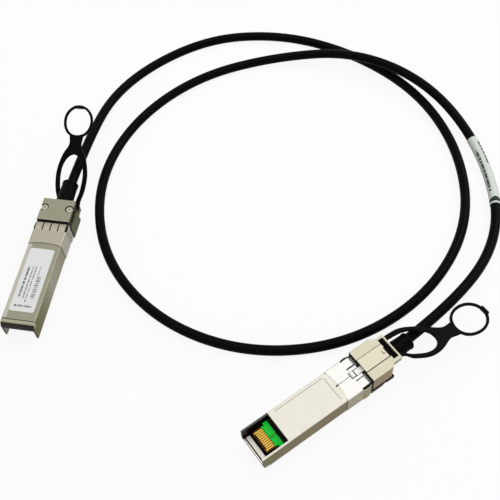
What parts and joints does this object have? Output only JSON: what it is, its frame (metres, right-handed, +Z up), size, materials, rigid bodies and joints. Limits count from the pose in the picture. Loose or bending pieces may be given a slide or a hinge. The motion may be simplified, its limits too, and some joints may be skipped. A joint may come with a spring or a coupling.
{
  "type": "direct attach copper cable",
  "caption": "Coiled twin-axial network cable with a metal pluggable module, spring latch and looped pull tab on each end.",
  "frame": {"origin": "on the table, below the middle of the box round both plugs (cable left out)", "axes": "+Z up from the table; +Y along plug A from its nose towards its cable"},
  "size_m": [0.1843, 0.2098, 0.0221],
  "materials": {
    "cover_metal": "matt nickel-plated die casting",
    "base_metal": "matt nickel-plated die casting",
    "spring_sheet": "plated spring sheet",
    "latch_metal": "plated steel",
    "screw_metal": "plated steel",
    "circuit_board": "solder-masked laminate",
    "contact_gold": "gold plated",
    "chip_plastic": "moulded package",
    "capacitor_ceramic": "fired ceramic",
    "wire_insulation": "foil-backed insulation",
    "ferrule_metal": "tinned",
    "boot_rubber": "moulded",
    "cable_jacket": "smooth jacket",
    "tab_plastic": "moulded",
    "label_paper": "coated label stock"
  },
  "bodies": {
    "plugs_and_cable": {"plug_a_cover": "cover_metal", "plug_a_base": "base_metal", "plug_a_emi_collar": "spring_sheet", "plug_a_circuit_card": "circuit_board", "plug_a_edge_contacts": "contact_gold", "plug_a_memory_chip": "chip_plastic", "plug_a_capacitors": "capacitor_ceramic", "plug_a_wire_pairs": "wire_insulation", "plug_a_crimp_ferrule": "ferrule_metal", "plug_a_boot": "boot_rubber", "plug_a_cover_screws": "screw_metal", "plug_a_pivot_pin": "screw_metal", "plug_a_latch_spring": "spring_sheet", "plug_b_cover": "cover_metal", "plug_b_base": "base_metal", "plug_b_emi_collar": "spring_sheet", "plug_b_circuit_card": "circuit_board", "plug_b_edge_contacts": "contact_gold", "plug_b_memory_chip": "chip_plastic", "plug_b_capacitors": "capacitor_ceramic", "plug_b_wire_pairs": "wire_insulation", "plug_b_crimp_ferrule": "ferrule_metal", "plug_b_boot": "boot_rubber", "plug_b_cover_screws": "screw_metal", "plug_b_pivot_pin": "screw_metal", "plug_b_latch_spring": "spring_sheet", "plug_a_label": "label_paper", "cable": "cable_jacket", "cable_label": "label_paper"},
    "plug_a_pull": {"plug_a_slider": "latch_metal", "plug_a_pull_tab": "tab_plastic"},
    "plug_a_latch": {"plug_a_latch_lever": "latch_metal"},
    "plug_b_pull": {"plug_b_slider": "latch_metal", "plug_b_pull_tab": "tab_plastic"},
    "plug_b_latch": {"plug_b_latch_lever": "latch_metal"}
  },
  "joints": [
    {"name": "plug_a_pull_slide", "type": "slide", "parent": "plugs_and_cable", "child": "plug_a_pull", "axis": [0, 1, 0], "range_m": [0, 0.002], "stiffness_N_per_m": 400, "springref_m": -0.001},
    {"name": "plug_a_latch_hinge", "type": "hinge", "parent": "plugs_and_cable", "child": "plug_a_latch", "pos_m": [-0.0827, 0.0234, 0.0023], "axis": [-1, 0, 0], "range_deg": [0, 2.9], "deforming": ["plug_a_latch_spring"]},
    {"name": "plug_b_pull_slide", "type": "slide", "parent": "plugs_and_cable", "child": "plug_b_pull", "axis": [0.7071, 0.7071, 0], "range_m": [0, 0.002], "stiffness_N_per_m": 400, "springref_m": -0.001},
    {"name": "plug_b_latch_hinge", "type": "hinge", "parent": "plugs_and_cable", "child": "plug_b_latch", "pos_m": [0.05069, -0.02521, 0.0088], "axis": [0.7071, -0.7071, 0], "range_deg": [0, 2.9], "deforming": ["plug_b_latch_spring"]}
  ],
  "couplings": [
    {"joint": "plug_a_latch_hinge", "follows": "plug_a_pull_slide", "rad_per_m": 25.3},
    {"joint": "plug_b_latch_hinge", "follows": "plug_b_pull_slide", "rad_per_m": 25.3}
  ]
}
